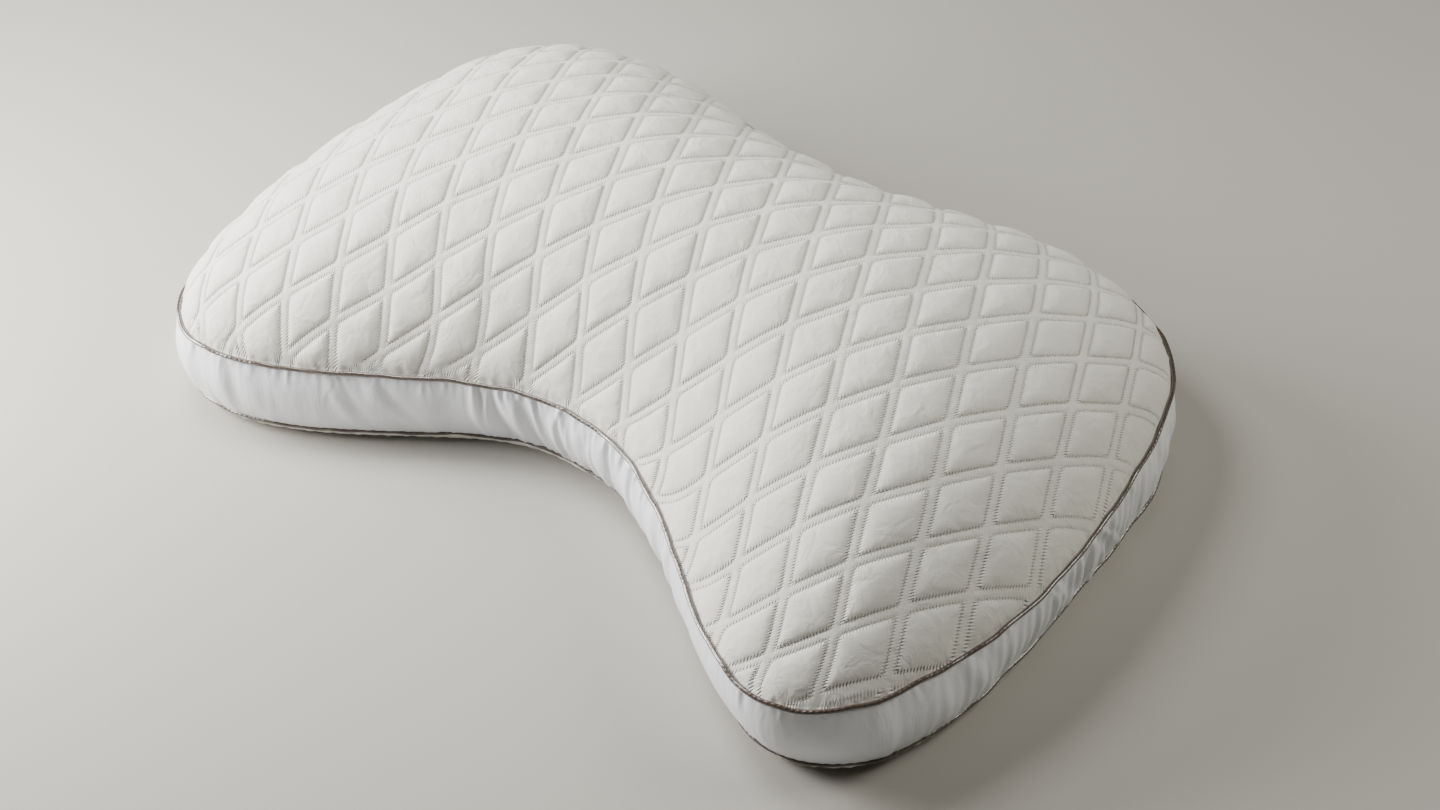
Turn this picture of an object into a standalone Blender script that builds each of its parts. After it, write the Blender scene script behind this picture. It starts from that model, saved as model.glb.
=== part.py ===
"""Butterfly shaped cervical pillow, lying on its underside.

The long axis is X, the shoulder recess faces -Y and +Z is up. The origin is
under the middle of the bounding box, on the plane that the pillow rests on.
Lengths are in metres, angles in degrees.
"""
import math

import bmesh
import bpy
import numpy as np
from mathutils.geometry import delaunay_2d_cdt

# Half of the top seam's outline, seen from above: the direction from a centre
# inside the pillow, and the distance from it. It runs from the shoulder recess
# round the right lobe to the back, and the left half mirrors it.
HALF_OUTLINE = (
    # direction, distance
    (-90, 0.146),
    (-72, 0.161),
    (-58, 0.228),
    (-47, 0.336),
    (-36, 0.353),
    (-20, 0.331),
    (0, 0.307),
    (22, 0.298),
    (42, 0.235),
    (64, 0.158),
    (90, 0.139),
)
SEAM_COLUMNS = 108

# Heights of the two seams, and how far the lower one is drawn in
TOP_SEAM_Z = 0.0600
BOTTOM_SEAM_Z = 0.0100
BOTTOM_SEAM_INSET = 0.0030
SIDE_BULGE = 0.0040

# The crown above the top seam, and how full it is: 0.5 is an ellipse, 1 a cone
CROWN_HEIGHT = 0.0810
CROWN_FULLNESS = 0.78

# Diamond quilting: half of one diamond's width and length, the two stitch
# lines of each channel, and how far the cloth puffs up between them
DIAMOND_HALF_X = 0.0194
DIAMOND_HALF_Y = 0.0353
QUILT_CENTRE_Y = 0.0514
QUILT_TURN = -2.0
CHANNEL_SHARE = 0.15
CHANNEL_PUFF = 0.30
QUILT_PUFF = 0.0036
QUILT_FADE = 0.020

# Cloth, piping cord and the gap between pieces that touch
BAND_THICKNESS = 0.0017
PANEL_THICKNESS = 0.0020
PIPING_RADIUS = 0.0016
GAP = 0.0003

# The underside rounds up from its flat resting patch to the lower seam
REST_PATCH_INSET = 0.034
DISH_TURNS = (90.0, 70.0, 48.0, 25.0, 0.0)
GATHER_DEPTH = 0.0012

# Each side's rows between the seams, and the crown's own rings near its seam
SIDE_ROWS = 5
CROWN_RINGS = (0.0050,)
LATTICE_MARGIN = 0.0030
# Samples across one quilting cell: channel, stitch, the diamond's flat, stitch
CELL_STEPS = (0.0, 0.075, 0.30, 0.70, 0.925)
MAP_STEP = 0.010
SLOPE_STEP = 0.0005

COLOURS = {
    "quilted_top": (0.86, 0.85, 0.83, 0.90),
    "side_band": (0.80, 0.81, 0.83, 0.42),
    "bottom_panel": (0.84, 0.83, 0.81, 0.90),
    "top_piping": (0.30, 0.25, 0.22, 0.38),
    "bottom_piping": (0.27, 0.22, 0.19, 0.38),
}


def clear_scene():
    for item in list(bpy.data.objects):
        bpy.data.objects.remove(item, do_unlink=True)


def periodic_spline(knots, values, period, query):
    """Smooth closed curve through the values: a periodic cubic spline."""
    step = np.diff(np.append(knots, knots[0] + period))
    before = np.roll(step, 1)
    slope = (np.roll(values, -1) - values) / step
    size = len(knots)
    system = np.diag(2.0 * (step + before))
    for row in range(size):
        system[row, (row + 1) % size] += step[row]
        system[row, row - 1] += before[row]
    bend = np.linalg.solve(system, 6.0 * (slope - np.roll(slope, 1)))
    place = (query - knots[0]) % period
    index = np.searchsorted(knots - knots[0], place, side="right") - 1
    after = (index + 1) % size
    low = place - (knots[index] - knots[0])
    high = step[index] - low
    cubic = bend[index] * high ** 3 + bend[after] * low ** 3
    left = (values[index] / step[index] - bend[index] * step[index] / 6.0) * high
    right = (values[after] / step[index] - bend[after] * step[index] / 6.0) * low
    return cubic / (6.0 * step[index]) + left + right


def seam_outline(count):
    """Even points along the top seam from the recess, and their outward normals."""
    table = np.array(HALF_OUTLINE, dtype=float)
    mirrored = table[-2:0:-1]
    angles = np.radians(np.append(table[:, 0], 180.0 - mirrored[:, 0]))
    radii = np.append(table[:, 1], mirrored[:, 1])
    fine = np.linspace(-math.pi / 2, 1.5 * math.pi, 2881)
    radius = periodic_spline(angles, radii, 2.0 * math.pi, fine)
    curve = np.column_stack([radius * np.cos(fine), radius * np.sin(fine)])
    curve[:, 1] -= (curve[:, 1].min() + curve[:, 1].max()) / 2.0
    length = np.append(0.0, np.cumsum(np.hypot(*np.diff(curve, axis=0).T)))
    along = np.arange(count) / count * length[-1]
    points = np.column_stack([np.interp(along, length, curve[:, axis]) for axis in (0, 1)])
    tangent = np.roll(points, -1, axis=0) - np.roll(points, 1, axis=0)
    tangent /= np.hypot(*tangent.T)[:, None]
    return points, np.column_stack([tangent[:, 1], -tangent[:, 0]])


def seam_distance(points, loop):
    """Shortest distance from each point to a closed loop."""
    best = np.full(len(points), np.inf)
    for start, end in zip(loop, np.roll(loop, -1, axis=0)):
        edge = end - start
        share = np.clip(((points - start) @ edge) / (edge @ edge), 0.0, 1.0)
        best = np.minimum(best, np.hypot(*(points - start - share[:, None] * edge).T))
    return best


def mean_depth(points, loop):
    """Distance to the loop averaged over every direction: zero on it, smooth inside."""
    total = np.zeros(len(points))
    for start, end in zip(loop, np.roll(loop, -1, axis=0)):
        a = start - points
        b = end - points
        len_a = np.hypot(*a.T)
        len_b = np.hypot(*b.T)
        cross = a[:, 0] * b[:, 1] - a[:, 1] * b[:, 0]
        dot = (a * b).sum(axis=1)
        total += cross / (len_a * len_b + dot + 1e-12) * (1.0 / len_a + 1.0 / len_b)
    return 2.0 / total


class Crown:
    """The pillow's domed top without its quilting, above the seam's plane."""

    def __init__(self, loop):
        self.loop = loop
        reach = np.abs(loop).max(axis=0) + MAP_STEP
        self.counts = np.ceil(reach / MAP_STEP).astype(int)
        xs = np.arange(-self.counts[0], self.counts[0] + 1) * MAP_STEP
        ys = np.arange(-self.counts[1], self.counts[1] + 1) * MAP_STEP
        grid_x, grid_y = np.meshgrid(xs, ys)
        self.deepest = 1.0
        grid = np.column_stack([grid_x.ravel(), grid_y.ravel()]) + 1e-6
        self.deepest = self.depth(grid).max()
        height = self.height(grid).reshape(grid_x.shape)
        self.slack_x = self.slack(height, 1)
        self.slack_y = self.slack(height, 0)

    def depth(self, points):
        depth = mean_depth(points, self.loop)
        return np.where(depth > 0.0, depth, 0.0) / self.deepest

    def height(self, points):
        return CROWN_HEIGHT * self.depth(points) ** CROWN_FULLNESS

    def surface(self, points, relief):
        """Points on the crown, raised along its own normal by the relief."""
        height = self.height(points)
        slope_x = self.height(points + (SLOPE_STEP, 0.0)) - height
        slope_y = self.height(points + (0.0, SLOPE_STEP)) - height
        normal = np.column_stack([-slope_x, -slope_y, np.full(len(points), SLOPE_STEP)])
        normal /= np.linalg.norm(normal, axis=1)[:, None]
        base = np.column_stack([points, TOP_SEAM_Z + height])
        return base + normal * relief[:, None]

    def slack(self, height, axis):
        """How much longer the cloth is than its plan, summed from the middle."""
        slope = np.clip(np.gradient(height, MAP_STEP, axis=axis), -1.5, 1.5)
        extra = np.cumsum((np.sqrt(1.0 + slope ** 2) - 1.0) * MAP_STEP, axis=axis)
        middle = self.counts[1 - axis]
        return extra - np.take(extra, [middle], axis=axis)

    def read(self, table, points):
        """Bilinear value of a grid at each point."""
        place = points / MAP_STEP + self.counts
        place = np.clip(place, 0.0, 2.0 * self.counts - 1e-6)
        cell = place.astype(int)
        part = place - cell
        i, j = cell[:, 0], cell[:, 1]
        near = table[j, i] * (1 - part[:, 0]) + table[j, i + 1] * part[:, 0]
        far = table[j + 1, i] * (1 - part[:, 0]) + table[j + 1, i + 1] * part[:, 0]
        return near * (1 - part[:, 1]) + far * part[:, 1]

    def drape(self, flat):
        """Plan position of points given on the flat cloth."""
        plan = flat.copy()
        for _ in range(4):
            shift_x = self.read(self.slack_x, plan)
            shift_y = self.read(self.slack_y, plan)
            plan = flat - np.column_stack([shift_x, shift_y])
        return plan


def cell_profile(share):
    """Height across one quilting family: 1 on a diamond, 0 on a stitch line."""
    distance = np.abs(share - np.round(share))
    stitch = CHANNEL_SHARE / 2.0
    channel = CHANNEL_PUFF * (1.0 - (distance / stitch) ** 2)
    rise = np.clip((distance - stitch) / (0.5 - stitch), 0.0, 1.0)
    return np.where(distance < stitch, channel, np.sin(rise * math.pi / 2) ** 0.6)


def quilt_relief(lattice, depth_in):
    puff = cell_profile(lattice[:, 0]) * cell_profile(lattice[:, 1])
    fade = np.clip(depth_in / QUILT_FADE, 0.0, 1.0)
    return QUILT_PUFF * puff * fade * (2.0 - fade)


def smooth_body(name, build):
    """A named object from a bmesh, smooth shaded, with its own cloth material."""
    body = bmesh.new()
    build(body)
    bmesh.ops.recalc_face_normals(body, faces=body.faces)
    mesh = bpy.data.meshes.new(name)
    body.to_mesh(mesh)
    body.free()
    mesh.shade_smooth()
    mesh.set_sharp_from_angle(angle=math.radians(50))
    mesh.materials.append(cloth_material(name))
    item = bpy.data.objects.new(name, mesh)
    bpy.context.scene.collection.objects.link(item)
    return item


def cloth_material(name):
    red, green, blue, rough = COLOURS[name]
    material = bpy.data.materials.new(name)
    material.use_nodes = True
    shader = material.node_tree.nodes["Principled BSDF"]
    shader.inputs["Base Color"].default_value = (red, green, blue, 1.0)
    shader.inputs["Roughness"].default_value = rough
    shader.inputs["Metallic"].default_value = 0.0
    return material


def ring(body, plan, heights):
    """One closed row of vertices."""
    heights = np.broadcast_to(heights, len(plan))
    return [body.verts.new((x, y, z)) for (x, y), z in zip(plan, heights)]


def skin(body, rows, closed=False):
    """Quads between each ring and the next."""
    pairs = list(zip(rows, rows[1:]))
    if closed:
        pairs.append((rows[-1], rows[0]))
    for low, high in pairs:
        for i, vert in enumerate(low):
            j = (i + 1) % len(low)
            body.faces.new((vert, low[j], high[j], high[i]))


def side_offset(share):
    """Outward offset of the band's outer face, from the lower seam up to the top one."""
    return -BOTTOM_SEAM_INSET * (1.0 - share) + SIDE_BULGE * math.sin(math.pi * share)


def side_height(share):
    return BOTTOM_SEAM_Z + (TOP_SEAM_Z - BOTTOM_SEAM_Z) * share


def side_shares():
    """Rows of the side, clear of the piping at both seams."""
    clear = (PIPING_RADIUS + GAP) / (TOP_SEAM_Z - BOTTOM_SEAM_Z)
    return np.linspace(clear, 1.0 - clear, SIDE_ROWS)


def dish_rows(body, points, normals, lift):
    """Rings of the rounded underside from its rim to the edge of the flat patch."""
    rim = BOTTOM_SEAM_INSET + BAND_THICKNESS + GAP
    rise = BOTTOM_SEAM_Z - PANEL_THICKNESS / 2.0
    rows = []
    for turn in np.radians(DISH_TURNS):
        inset = rim + (REST_PATCH_INSET - rim) * (1.0 - math.sin(turn))
        height = rise * (1.0 - math.cos(turn)) + lift
        rows.append(ring(body, points - normals * inset, height))
    return rows


def bottom_panel(points, normals):
    def build(body):
        under = dish_rows(body, points, normals, 0.0)
        upper = dish_rows(body, points, normals, PANEL_THICKNESS)
        skin(body, under[::-1] + upper)
        body.faces.new(under[-1])
        body.faces.new(upper[-1])
    return smooth_body("bottom_panel", build)


def side_band(points, normals):
    """Satin ring with a smooth inside and softly gathered outside."""
    columns = np.arange(len(points))
    tight = np.clip((0.115 - np.abs(points[:, 0])) / 0.04, 0.0, 1.0) * (points[:, 1] < 0.0)
    gather = GATHER_DEPTH * (0.4 + 0.6 * tight) * (columns % 2)

    def build(body):
        outer = []
        inner = []
        for share in side_shares():
            out = side_offset(share) - gather * math.sin(math.pi * share)
            outer.append(ring(body, points + normals * out[:, None], side_height(share)))
        for share in side_shares()[::-1]:
            inside = side_offset(share) - BAND_THICKNESS
            inner.append(ring(body, points + normals * inside, side_height(share)))
        skin(body, outer + inner, closed=True)
    return smooth_body("side_band", build)


def piping(name, points, normals, offset, height):
    """Covered cord that runs once round the pillow in a seam."""
    def build(body):
        rows = []
        for turn in np.arange(6) * math.pi / 3.0:
            out = offset + PIPING_RADIUS * math.cos(turn)
            up = height + PIPING_RADIUS * math.sin(turn)
            rows.append(ring(body, points + normals * out, up))
        skin(body, rows, closed=True)
    return smooth_body(name, build)


def quilt_lattice(crown):
    """Quilting points inside the crown: plan, cell coordinates and mesh lines."""
    reach = 12
    steps = np.concatenate([base + np.array(CELL_STEPS) for base in range(-reach, reach)])
    s, t = np.meshgrid(steps, steps, indexing="ij")
    across = (s + t).ravel() * DIAMOND_HALF_X
    along = (s - t).ravel() * DIAMOND_HALF_Y
    turn = math.radians(QUILT_TURN)
    flat_x = across * math.cos(turn) - along * math.sin(turn)
    flat_y = across * math.sin(turn) + along * math.cos(turn) + QUILT_CENTRE_Y
    plan = crown.drape(np.column_stack([flat_x, flat_y]))
    inside = mean_depth(plan, crown.loop) > 0.0
    margin = CROWN_RINGS[-1] + LATTICE_MARGIN
    inside &= seam_distance(plan, crown.loop) > margin
    number = np.full(s.size, -1)
    number[inside] = np.arange(inside.sum())
    number = number.reshape(s.shape)
    lines = []
    for low, high in ((number[:-1], number[1:]), (number[:, :-1], number[:, 1:])):
        both = (low >= 0) & (high >= 0)
        lines.extend(zip(low[both].tolist(), high[both].tolist()))
    cells = np.column_stack([s.ravel(), t.ravel()])
    return plan[inside], cells[inside], lines


def crown_mesh(body, crown, points, normals, edge_ring):
    """Quilted crown, from the ring at the seam inwards."""
    plan, cells, lines = quilt_lattice(crown)
    count = len(points)
    loops = [points - normals * (BAND_THICKNESS + GAP)]
    loops += [crown.loop[:: len(crown.loop) // count] - normals * inset for inset in CROWN_RINGS]
    edges = []
    for row in range(len(loops)):
        start = row * count
        edges.extend((start + i, start + (i + 1) % count) for i in range(count))
    start = len(loops) * count
    edges.extend((start + low, start + high) for low, high in lines)
    flat = np.concatenate(loops + [plan])
    relief = np.zeros(len(flat))
    relief[start:] = quilt_relief(cells, seam_distance(plan, crown.loop))
    places = crown.surface(flat, relief)
    result = delaunay_2d_cdt(flat.tolist(), edges, [], 1, 1e-7)
    faces, sources = result[2], result[3]
    made = []
    for source in sources:
        if source[0] < count:
            made.append(edge_ring[source[0]])
        else:
            made.append(body.verts.new(places[source[0]]))
    for face in faces:
        body.faces.new([made[i] for i in face])


def quilted_top(points, normals, crown):
    def build(body):
        lift = PANEL_THICKNESS + GAP
        rows = dish_rows(body, points, normals, lift)[::-1]
        body.faces.new(rows[0])
        for share in side_shares():
            inside = side_offset(share) - BAND_THICKNESS - GAP
            rows.append(ring(body, points + normals * inside, side_height(share)))
        inside = BAND_THICKNESS + GAP
        rows.append(ring(body, points - normals * inside, TOP_SEAM_Z))
        skin(body, rows)
        crown_mesh(body, crown, points, normals, rows[-1])
    return smooth_body("quilted_top", build)


def build_pillow():
    clear_scene()
    points, normals = seam_outline(SEAM_COLUMNS)
    fine_points, fine_normals = seam_outline(SEAM_COLUMNS * 3)
    crown = Crown(fine_points - fine_normals * (BAND_THICKNESS + GAP))
    quilted_top(points, normals, crown)
    side_band(points, normals)
    bottom_panel(points, normals)
    piping("top_piping", points, normals, 0.0, TOP_SEAM_Z)
    piping("bottom_piping", points, normals, -BOTTOM_SEAM_INSET, BOTTOM_SEAM_Z)


build_pillow()
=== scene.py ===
"""Looks of the cervical pillow: quilted cover, gathered satin band and piping.

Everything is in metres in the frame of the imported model: the long axis is X,
the shoulder recess faces -Y, and the pillow rests on the plane z = 0.
"""

import math

import bpy
import numpy as np
from mathutils import Matrix, Vector
from mathutils.geometry import delaunay_2d_cdt


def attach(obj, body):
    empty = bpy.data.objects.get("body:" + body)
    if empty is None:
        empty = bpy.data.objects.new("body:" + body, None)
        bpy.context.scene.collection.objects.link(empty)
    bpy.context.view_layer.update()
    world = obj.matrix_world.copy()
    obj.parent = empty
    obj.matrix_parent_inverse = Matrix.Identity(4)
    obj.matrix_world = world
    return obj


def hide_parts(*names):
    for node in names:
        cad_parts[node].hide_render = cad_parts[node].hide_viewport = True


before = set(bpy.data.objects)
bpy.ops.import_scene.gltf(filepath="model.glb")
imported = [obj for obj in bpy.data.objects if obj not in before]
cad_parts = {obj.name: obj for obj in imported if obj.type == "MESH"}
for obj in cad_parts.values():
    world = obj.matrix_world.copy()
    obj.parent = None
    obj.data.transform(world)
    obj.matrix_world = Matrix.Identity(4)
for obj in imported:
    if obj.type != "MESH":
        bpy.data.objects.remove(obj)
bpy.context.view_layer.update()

# Half of the top seam, as in the solids: direction in degrees, distance
HALF_OUTLINE = (
    (-90, 0.146),
    (-72, 0.161),
    (-58, 0.228),
    (-47, 0.336),
    (-36, 0.353),
    (-20, 0.331),
    (0, 0.307),
    (22, 0.298),
    (42, 0.235),
    (64, 0.158),
    (90, 0.139),
)
# How far each seam gives outwards where the pillow is pressed: direction, distance
TOP_EASE = (
    (-90, -0.0005), (-78, -0.0010), (-68, -0.0020), (-62, -0.0035), (-57, -0.0070),
    (-52, 0.0020), (-48, 0.0035), (-44, -0.0020), (-40, -0.0030), (-36, -0.0015),
    (-31, -0.0020), (-25, -0.0010), (-16, 0.0005), (0, 0.0010), (14, -0.0025),
    (26, 0.0015), (50, 0.0), (120, 0.0), (190, 0.0), (206, -0.0005),
    (214, 0.0005), (220, -0.0015), (226, -0.0035), (232, -0.0005), (240, 0.0055),
    (250, 0.0045),
)
BOTTOM_EASE = (
    (-90, -0.0010), (-78, -0.0015), (-66, 0.0005), (-56, -0.0034), (-48, -0.0036),
    (-42, 0.0008), (-37, 0.0045), (-32, 0.0055), (-26, 0.0030), (-20, -0.0010),
    (-14, -0.0020), (-8, -0.0025), (-2, 0.0), (5, 0.0030), (12, 0.0060),
    (22, 0.0), (50, 0.0), (120, 0.0), (190, 0.0), (215, -0.0020),
    (225, 0.0040), (235, 0.0045), (247, -0.0005), (258, -0.0025),
)
# How far the seam takes the quilting with it: direction, inwards, sideways
SEAM_PULL = (
    (-150, 0.0020, 0.0), (-135, 0.0130, 0.0080), (-118, -0.0070, -0.0065),
    (-100, -0.0020, -0.0090), (-80, 0.0055, -0.0090), (-60, 0.0155, -0.0060),
    (-45, 0.0145, -0.0065), (-30, 0.0050, 0.0045), (-12, 0.0020, -0.0010),
    (10, 0.0060, -0.0045), (30, 0.0060, 0.0), (90, 0.0, 0.0), (150, 0.0020, 0.0),
)
# How far the pull reaches in, as a share of the way from the centre to the seam
PULL_REACH = 0.11

# Seams, crown and side, as in the solids
TOP_SEAM_Z = 0.0600
BOTTOM_SEAM_Z = 0.0100
BOTTOM_SEAM_INSET = 0.0030
SIDE_BULGE = 0.0040
CROWN_HEIGHT = 0.0810
CROWN_FULLNESS = 0.78
CROWN_INSET = 0.0020
REST_PATCH_INSET = 0.034

# Places round the seam that differ from the rest: direction and spread in degrees
LEAN_CORNER = (-46.0, 24.0)
TUCKED_FLANK = (-61.0, 12.0)
TIGHT_END = (2.0, 22.0)
LOOSE_RIGHT_SIDE = (-4.0, 19.0)
LOOSE_LEFT_SPREAD = 26.0
CALM_CORNER = (-40.0, 13.0)
CORNER_LEANNESS = 0.32

# Diamond quilting: where it lies on the flat cloth
DIAMOND_HALF_X = 0.0192
DIAMOND_HALF_Y = 0.0359
SIDE_LENGTH = math.hypot(DIAMOND_HALF_X, DIAMOND_HALF_Y)
LINE_SPACING = 2.0 * DIAMOND_HALF_X * DIAMOND_HALF_Y / SIDE_LENGTH
QUILT_CENTRE = (0.0006, 0.0512)
QUILT_TURN = math.radians(-2.6)
QUILT_SKEW = 0.048
QUILT_FAN = 0.107
LINE_WAVER = 0.004
SLACK_TAKEN = (0.64, 1.30)
SLACK_SOFTNESS = 0.020
STEEPEST_SLACK = 1.5

# Its relief: half a channel's width in cells, then heights and widths
CHANNEL_HALF = 0.083
CHANNEL_HEIGHT = 0.00042
PAD_EDGE_HEIGHT = 0.0012
PAD_CROWN_HEIGHT = 0.0013
PAD_EDGE_WIDTH = 0.0019
PAD_VARIETY = 0.10
PAD_VARIETY_STEPS = (12.9898, 78.233)
CORNER_RADIUS = 0.0014
CORNER_CONTRAST = 0.0008
CORNER_SHARPNESS = 8.0
SEAM_SQUEEZE = 0.005
STRETCH_FLATTENING = 0.6
STRETCH_REACH = 0.028
LUMP_HEIGHT = 0.0006
LUMP_FADE = 0.02
PUCKER_HEIGHT = 0.00035
PUCKER_REACH = 0.006
PUCKER_START = 0.001

# Uneven waves along the seam: share, mean pitch, sway of the crests and its turns
COVER_PUCKERS = ((1.0, 0.0087, 1.7, 23.0), (0.5, 0.0053, 2.1, 31.0))
BAND_PUCKERS = ((1.0, 0.0064, 2.0, 17.0),)
BAND_GATHERS = ((1.0, 0.0088, 2.4, 13.0), (0.6, 0.0131, 1.7, 19.0))
PANEL_PUCKERS = ((1.0, 0.011, 1.9, 21.0), (0.6, 0.0067, 1.1, 29.0))

# Mesh fineness: samples across half a cell, columns round the seam
HALF_CELL = (0.03, 0.06, 0.075, 0.083, 0.092, 0.11, 0.145, 0.21, 0.34)
LATTICE_REACH = 11
LATTICE_MARGIN = 0.0021
RIM_REACH = 0.70
WELL_INSIDE = 0.1
SEAM_COLUMNS = 1320
LOOP_COLUMNS = 324
OUTLINE_SAMPLES = 2881
RIM_INSETS = (0.0, 0.0009)
MAP_STEP = 0.004
SLOPE_STEP = 0.0005
PULL_ROUNDS = 8
DRAPE_ROUNDS = 4

# The cover under the band and the under panel: offset from the seam, height
COVER_TUCKS = (
    (-0.0008, TOP_SEAM_Z - 0.0006),
    (-0.0030, TOP_SEAM_Z - 0.0020),
    (-0.0030, TOP_SEAM_Z - 0.0250),
    (-0.0075, BOTTOM_SEAM_Z + 0.0040),
    (-0.0180, BOTTOM_SEAM_Z - 0.0040),
    (-REST_PATCH_INSET, 0.0030),
)

# Side band: how full it is, then its wide slanting folds and short tucks
BAND_COLUMNS = 1640
BAND_ROWS = 34
BAND_SPAN = (0.008, 0.992)
BAND_INNER_ROWS = (0.985, 0.5, 0.015)
BAND_PUFF = 0.0022
BAND_TAUTNESS = 0.75
BAND_THICKNESS = 0.0030
FOLD_SEED = 41
WIDE_FOLDS = 150
FOLD_WIDTHS = (0.0032, 0.0080)
FOLD_DEPTH = 0.0013
LOOSE_FOLD_DEPTH = 0.0013
FOLD_SLANT = (-0.30, 0.22)
FOLD_DEPTH_SHARES = (0.35, 1.0)
FOLD_MIDDLES = (0.25, 0.75)
FOLD_EXTENTS = (0.45, 1.0)
SHORT_TUCKS = 330
TUCK_WIDTHS = (0.0011, 0.0026)
TUCK_DEPTH = 0.0008
TUCK_SLANT = 0.18
TUCK_DEPTH_SHARES = (0.3, 1.0)
TUCK_LENGTHS = (0.16, 0.50)
TUCKS_FROM_TOP = 0.7
CROWDED_DEPTH = 0.0006
GATHER_DEPTH = 0.0013
SWELL_DEPTH = 0.0010
SWELL_TURNS = (19.0, 7.3)
TOP_PUCKER_DEPTH = 0.00040
FOOT_PUCKER_DEPTH = 0.00028
FOOT_PUCKER_SHIFT = 7
SEWN_IN_REACH = 0.07
PINCH_REACH = 0.05
PINCHED_SHARE = 0.22
DEEPEST_FOLD = 0.0021
# How many folds start at a place: everywhere, where the seam bows in, where it is loose
FOLD_CROWDING = (0.5, 2.2, 1.5)
TUCK_CROWDING = (0.4, 2.6, 0.8)

# Under panel: columns round it, and its turns up from the resting patch
PANEL_COLUMNS = 900
PANEL_TURNS = np.radians(np.linspace(90.0, 0.0, 22))
PANEL_THICKNESS = 0.0012
PANEL_RIM_INSET = 0.0008
PANEL_RIM_Z = BOTTOM_SEAM_Z - 0.0006
UNDER_PUFF = 0.0042
UNDER_FOLD = 0.0004
PUFF_START = 0.55
PUFF_SPAN = 0.45
FLANK_TUCK = 1.25
UNFOLDED_TURN = math.radians(88)

# Piping and stitches
PIPING_RADIUS = 0.00145
PIPING_SIDES = 14
PIPING_COLUMNS = 900
PIPING_WRINKLES = 540
PIPING_SWAY = 0.00035
PIPING_RISE = 0.00040
PIPING_RIPPLE = 0.00022
STITCH_PITCH = 0.0019
STITCH_LENGTH = 0.0017
STITCH_RADIUS = 0.00024
STITCH_LIFT = 0.00008
STITCH_MARGIN = 0.0015
OUTLINE_POINTS = 96
OUTLINE_REACH = 0.62
HALVINGS = 24
SHORTEST_RUN = 3

# Colours of the cloths, the thread and the floor, and the strength of the painted shade in the needle
# holes and between the piping's wrinkles
OFF_WHITE = (0.815, 0.80, 0.745)
COOL_WHITE = (0.886, 0.905, 0.952)
TAUPE = (0.098, 0.073, 0.060)
THREAD_WHITE = (0.80, 0.79, 0.765)
FLOOR_COLOUR = (0.470, 0.455, 0.420)
FLOOR_HALF = 4.0
NEEDLE_HOLE_PAINTED_SHADE = -0.05
WRINKLE_PAINTED_SHADE = 0.10
CONTOUR_SMOOTHING = 0.16

# Camera, fitted to the seams, the silhouette and the quilting crossings
CAMERA_AIM = (0.0311, 0.0065, 0.0)
CAMERA_DISTANCE = 1.374
CAMERA_AZIMUTH = math.radians(41.18)
CAMERA_ELEVATION = math.radians(44.41)
CAMERA_ROLL = 0.05
CAMERA_FOCAL = 52.09
SENSOR_WIDTH = 36.0

# Soft round lights: turn from the camera's left, lift, distance, power, colour
LIGHTS = (
    ("key", 20, 26, 1.5, 25.6, (1.0, 0.985, 0.955)),
    ("near_left", 2, 20, 0.85, 10.6, (1.0, 0.985, 0.96)),
    ("above", 36, 65, 0.85, 5.9, (1.0, 0.99, 0.965)),
    ("fill", 180, 39, 1.5, 9.9, (1.0, 0.97, 0.86)),
)
LIGHT_AIM = Vector((0.0, 0.0, 0.05))
LIGHT_SIZE = 0.45
ROOM_COLOUR = (0.95, 0.97, 1.0, 1.0)
ROOM_STRENGTH = 0.032


def periodic_spline(knots, values, period, query):
    """Smooth closed curve through the values: a periodic cubic spline."""
    step = np.diff(np.append(knots, knots[0] + period))
    before = np.roll(step, 1)
    slope = (np.roll(values, -1) - values) / step
    size = len(knots)
    system = np.diag(2.0 * (step + before))
    for row in range(size):
        system[row, (row + 1) % size] += step[row]
        system[row, row - 1] += before[row]
    bend = np.linalg.solve(system, 6.0 * (slope - np.roll(slope, 1)))
    place = (query - knots[0]) % period
    index = np.searchsorted(knots - knots[0], place, side="right") - 1
    after = (index + 1) % size
    low = place - (knots[index] - knots[0])
    high = step[index] - low
    cubic = bend[index] * high ** 3 + bend[after] * low ** 3
    left = (values[index] / step[index] - bend[index] * step[index] / 6.0) * high
    right = (values[after] / step[index] - bend[after] * step[index] / 6.0) * low
    return cubic / (6.0 * step[index]) + left + right


def ease(table, turn, column=1):
    """Value of a short table at each direction, in radians."""
    rows = np.array(table)
    return periodic_spline(np.radians(rows[:, 0]), rows[:, column], 2.0 * math.pi, turn)


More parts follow.
